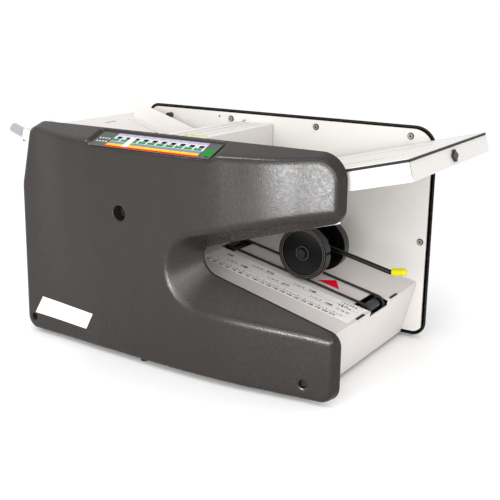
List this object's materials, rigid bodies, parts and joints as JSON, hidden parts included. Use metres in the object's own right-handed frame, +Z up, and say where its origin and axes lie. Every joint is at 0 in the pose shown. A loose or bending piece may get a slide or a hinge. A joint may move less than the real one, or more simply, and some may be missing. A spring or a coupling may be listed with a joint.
{
  "type": "desktop paper folding machine",
  "caption": "Tabletop buckle-type paper folder: sloping feed table, fold rollers and fold plates between side covers, belt delivery deck with stacker wheels.",
  "frame": {"origin": "middle of the whole object's footprint, on the surface its feet stand on", "axes": "+X from the feed end to the delivery end, +Y away from the operator's side with the notched cover, +Z up"},
  "size_m": [0.5872, 0.3166, 0.2899],
  "materials": {
    "charcoal_plastic": "fine-textured moulded plastic",
    "white_steel": "smooth powder coat",
    "grey_steel": "smooth powder coat",
    "zinc": "zinc plated",
    "dark_steel": "turned and ground",
    "black_plastic": "moulded",
    "black_gloss": "moulded, slight gloss",
    "black_rubber": "matt",
    "grey_rubber": "ground",
    "tan_plastic": "moulded",
    "bronze": "sintered",
    "aluminium_knob": "knurled",
    "motor_paint": "enamel",
    "cork_pad": "matt",
    "white_label": "printed film",
    "grey_label": "printed film",
    "red_label": "printed film",
    "yellow_vinyl": "dipped vinyl"
  },
  "bodies": {
    "chassis": {"near_frame": "white_steel", "far_frame": "white_steel", "near_cover": "charcoal_plastic", "far_cover": "charcoal_plastic", "base_plate": "zinc", "feet": "black_rubber", "tie_rods": "zinc", "frame_screws": "zinc", "cover_screws": "dark_steel", "end_panel": "white_steel", "power_inlet": "black_plastic", "switch_housing": "black_plastic", "motor": "motor_paint", "motor_mount": "zinc", "bushes": "bronze", "drive_belts": "black_rubber", "feed_table": "grey_steel", "retard_pad": "cork_pad", "table_stop_pin": "black_plastic", "hood_bar": "white_steel", "hood_hinge_rod": "zinc", "plate_1_tray": "white_steel", "plate_1_lid": "white_steel", "plate_1_seal": "black_rubber", "plate_2_tray": "white_steel", "plate_2_lid": "white_steel", "deck": "grey_steel", "ruler_strip": "white_label", "delivery_pointer": "red_label", "conveyor_bracket": "dark_steel", "conveyor_belts": "black_rubber", "stacker_pivot_bar": "zinc", "setting_label": "grey_label", "badge": "white_label"},
    "rocker": {"power_rocker": "black_gloss"},
    "motor_rotor": {"motor_pulley": "aluminium_knob"},
    "near_guide": {"near_guide": "white_steel"},
    "far_guide": {"far_guide": "white_steel"},
    "skew_screw": {"skew_knob": "aluminium_knob"},
    "feed_roll": {"feed_shaft": "zinc", "feed_roller": "grey_rubber"},
    "hood": {"hood": "white_steel"},
    "stop_1": {"plate_1_stop": "zinc"},
    "stop_screw": {"plate_1_knob": "black_plastic"},
    "stop_2": {"plate_2_stop": "zinc"},
    "fold_1": {"fold_roller_1": "dark_steel", "fold_drive_1": "tan_plastic"},
    "fold_2": {"fold_roller_2": "dark_steel", "fold_drive_2": "tan_plastic"},
    "fold_3": {"fold_roller_3": "dark_steel", "fold_drive_3": "tan_plastic"},
    "fold_4": {"fold_roller_4": "dark_steel", "fold_drive_4": "tan_plastic"},
    "conveyor_drive": {"conveyor_roller": "black_gloss"},
    "conveyor_idler": {"conveyor_idler": "black_gloss"},
    "stacker_arm": {"stacker_rod": "black_gloss", "stacker_tip": "yellow_vinyl"},
    "stacker_carrier": {"stacker_carriage": "black_plastic"},
    "stacker_wheelset": {"stacker_axle": "dark_steel", "stacker_wheels": "black_gloss"}
  },
  "joints": [
    {"name": "fold_2_spin", "type": "hinge", "parent": "chassis", "child": "fold_2", "pos_m": [-0.02687, 0, 0.18892], "axis": [0, 1, 0], "continuous": true},
    {"name": "fold_1_spin", "type": "hinge", "parent": "chassis", "child": "fold_1", "pos_m": [-0.0328, 0, 0.21218], "axis": [0, 1, 0], "continuous": true},
    {"name": "fold_3_spin", "type": "hinge", "parent": "chassis", "child": "fold_3", "pos_m": [-0.0131, 0, 0.16926], "axis": [0, 1, 0], "continuous": true},
    {"name": "fold_4_spin", "type": "hinge", "parent": "chassis", "child": "fold_4", "pos_m": [-0.01821, 0, 0.14581], "axis": [0, 1, 0], "continuous": true},
    {"name": "feed_spin", "type": "hinge", "parent": "chassis", "child": "feed_roll", "pos_m": [-0.06983, 0, 0.2302], "axis": [0, 1, 0], "continuous": true},
    {"name": "motor_spin", "type": "hinge", "parent": "chassis", "child": "motor_rotor", "pos_m": [0.09817, 0, 0.046], "axis": [0, 1, 0], "continuous": true},
    {"name": "conveyor_drive_spin", "type": "hinge", "parent": "chassis", "child": "conveyor_drive", "pos_m": [-0.00383, 0, 0.11546], "axis": [0, 1, 0], "continuous": true},
    {"name": "conveyor_idler_spin", "type": "hinge", "parent": "chassis", "child": "conveyor_idler", "pos_m": [0.19109, 0, 0.07296], "axis": [0, 1, 0], "continuous": true},
    {"name": "stacker_lift", "type": "hinge", "parent": "chassis", "child": "stacker_arm", "pos_m": [0.02217, 0, 0.1648], "axis": [0, -1, 0], "range_deg": [0, 25]},
    {"name": "stacker_slide", "type": "slide", "parent": "stacker_arm", "child": "stacker_carrier", "axis": [0.977, 0, -0.213], "range_m": [-0.04, 0.06]},
    {"name": "stacker_wheel_spin", "type": "hinge", "parent": "stacker_carrier", "child": "stacker_wheelset", "pos_m": [0.11155, 0, 0.13631], "axis": [0, 1, 0], "continuous": true},
    {"name": "hood_hinge", "type": "hinge", "parent": "chassis", "child": "hood", "pos_m": [-0.06813, 0, 0.2657], "axis": [0, -1, 0], "range_deg": [0, 75]},
    {"name": "near_guide_slide", "type": "slide", "parent": "chassis", "child": "near_guide", "axis": [0, 1, 0], "range_m": [-0.003, 0.045]},
    {"name": "far_guide_slide", "type": "slide", "parent": "chassis", "child": "far_guide", "axis": [0, -1, 0], "range_m": [-0.018, 0.035]},
    {"name": "skew_knob_turn", "type": "hinge", "parent": "chassis", "child": "skew_screw", "pos_m": [-0.26495, -0.105, 0.25982], "axis": [0.9563, 0, -0.2924], "range_deg": [-360, 360]},
    {"name": "plate_1_knob_turn", "type": "hinge", "parent": "chassis", "child": "stop_screw", "pos_m": [0.2885, 0, 0.27292], "axis": [0.969, 0, 0.247], "range_deg": [0, 8300]},
    {"name": "plate_1_stop_slide", "type": "slide", "parent": "chassis", "child": "stop_1", "axis": [0.969, 0, 0.247], "range_m": [0, 0.138]},
    {"name": "plate_2_stop_slide", "type": "slide", "parent": "chassis", "child": "stop_2", "axis": [-0.8192, 0, -0.5736], "range_m": [-0.07, 0.068]},
    {"name": "power_rocker_tip", "type": "hinge", "parent": "chassis", "child": "rocker", "pos_m": [-0.23283, 0.028, 0.047], "axis": [0, 0, 1], "range_deg": [0, 14]}
  ],
  "couplings": [
    {"joint": "fold_1_spin", "follows": "fold_2_spin", "ratio": -1},
    {"joint": "fold_3_spin", "follows": "fold_2_spin", "ratio": -1},
    {"joint": "fold_4_spin", "follows": "fold_2_spin", "ratio": 1},
    {"joint": "feed_spin", "follows": "fold_2_spin", "ratio": -0.66667},
    {"joint": "motor_spin", "follows": "fold_2_spin", "ratio": 2},
    {"joint": "conveyor_drive_spin", "follows": "fold_2_spin", "ratio": 1},
    {"joint": "conveyor_idler_spin", "follows": "fold_2_spin", "ratio": 1},
    {"joint": "plate_1_knob_turn", "follows": "plate_1_stop_slide", "rad_per_m": 1047.2}
  ]
}
